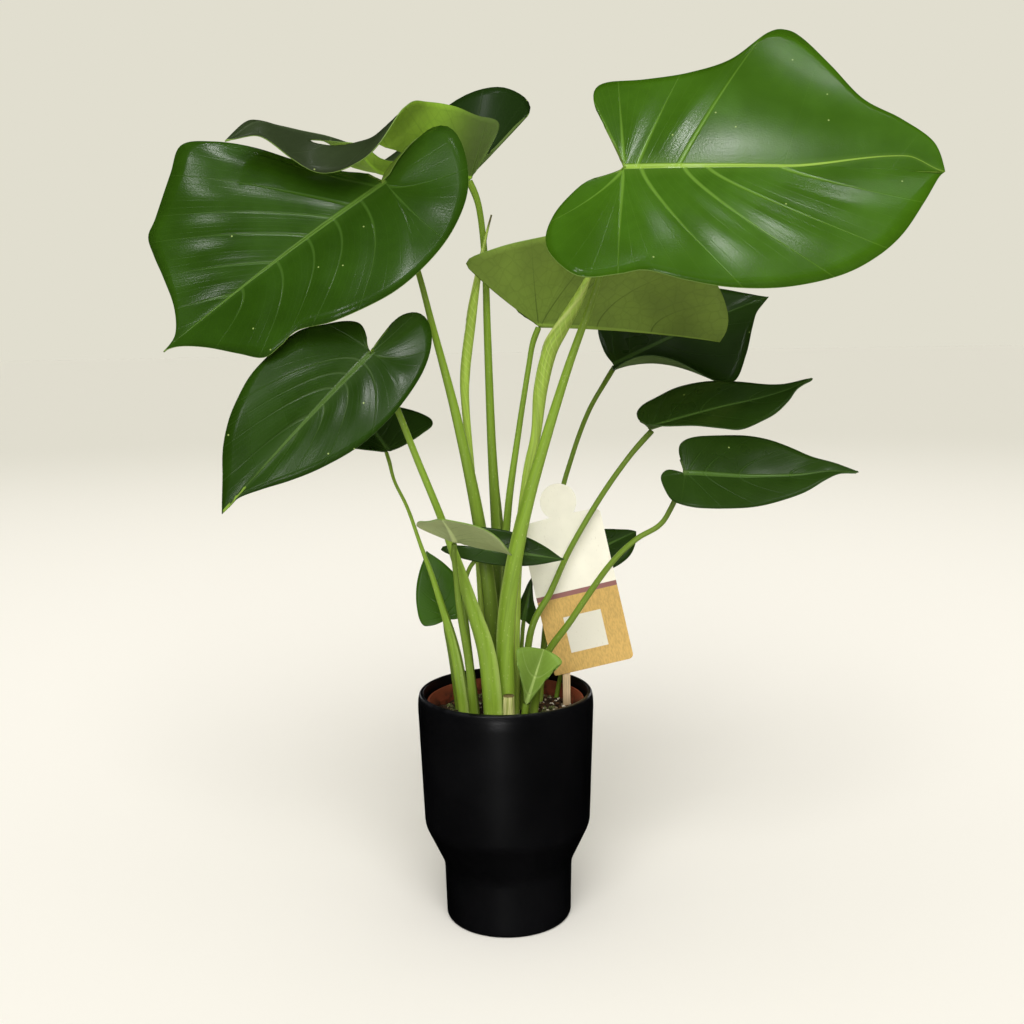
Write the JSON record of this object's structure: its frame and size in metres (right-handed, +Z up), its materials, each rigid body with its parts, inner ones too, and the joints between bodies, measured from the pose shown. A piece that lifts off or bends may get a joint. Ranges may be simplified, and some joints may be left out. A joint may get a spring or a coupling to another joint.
{
  "type": "potted swiss cheese plant",
  "caption": "Young monstera with broad glossy heart-shaped leaves on long stalks, in a nursery pot of soil set in a stepped black pot, with a plain plant label.",
  "frame": {"origin": "centre of the outer pot's flat base, on the surface that it stands on", "axes": "+Z up along the pot's axis; the picture's viewer stands at -Y, with +X to the viewer's right"},
  "size_m": [0.5651, 0.2705, 0.6829],
  "materials": {
    "black_pot": "satin",
    "terracotta_plastic": "satin",
    "potting_soil": "matte",
    "leaf_bright": "satin",
    "leaf_dark": "satin",
    "leaf_stalk": "satin",
    "rolled_leaf": "satin",
    "cut_stalk": "matte",
    "printed_card": "matte",
    "bare_wood": "matte"
  },
  "bodies": {
    "root": {"label_card": "printed_card", "label_stick": "bare_wood", "leaf_arched_behind": "leaf_bright", "leaf_behind_card": "leaf_dark", "leaf_beside_card": "leaf_dark", "leaf_centre_upright": "leaf_bright", "leaf_dark_behind": "leaf_dark", "leaf_left": "leaf_bright", "leaf_left_small": "leaf_dark", "leaf_low_front": "leaf_dark", "leaf_low_left": "leaf_dark", "leaf_low_middle": "leaf_dark", "leaf_right_lower": "leaf_dark", "leaf_right_upper": "leaf_dark", "leaf_top_left": "leaf_bright", "leaf_top_right": "leaf_bright", "leaf_unfurling": "leaf_bright", "nursery_pot": "terracotta_plastic", "outer_pot": "black_pot", "rolled_leaf_left": "rolled_leaf", "rolled_leaf_right": "rolled_leaf", "soil": "potting_soil", "stalk_arched_behind": "leaf_stalk", "stalk_behind_card": "leaf_stalk", "stalk_beside_card": "leaf_stalk", "stalk_centre_upright": "leaf_stalk", "stalk_cut": "cut_stalk", "stalk_dark_behind": "leaf_stalk", "stalk_left": "leaf_stalk", "stalk_left_small": "leaf_stalk", "stalk_low_front": "leaf_stalk", "stalk_low_left": "leaf_stalk", "stalk_low_middle": "leaf_stalk", "stalk_right_lower": "leaf_stalk", "stalk_right_upper": "leaf_stalk", "stalk_top_left": "leaf_stalk", "stalk_top_right": "leaf_stalk", "stalk_unfurling": "leaf_stalk"}
  },
  "joints": []
}
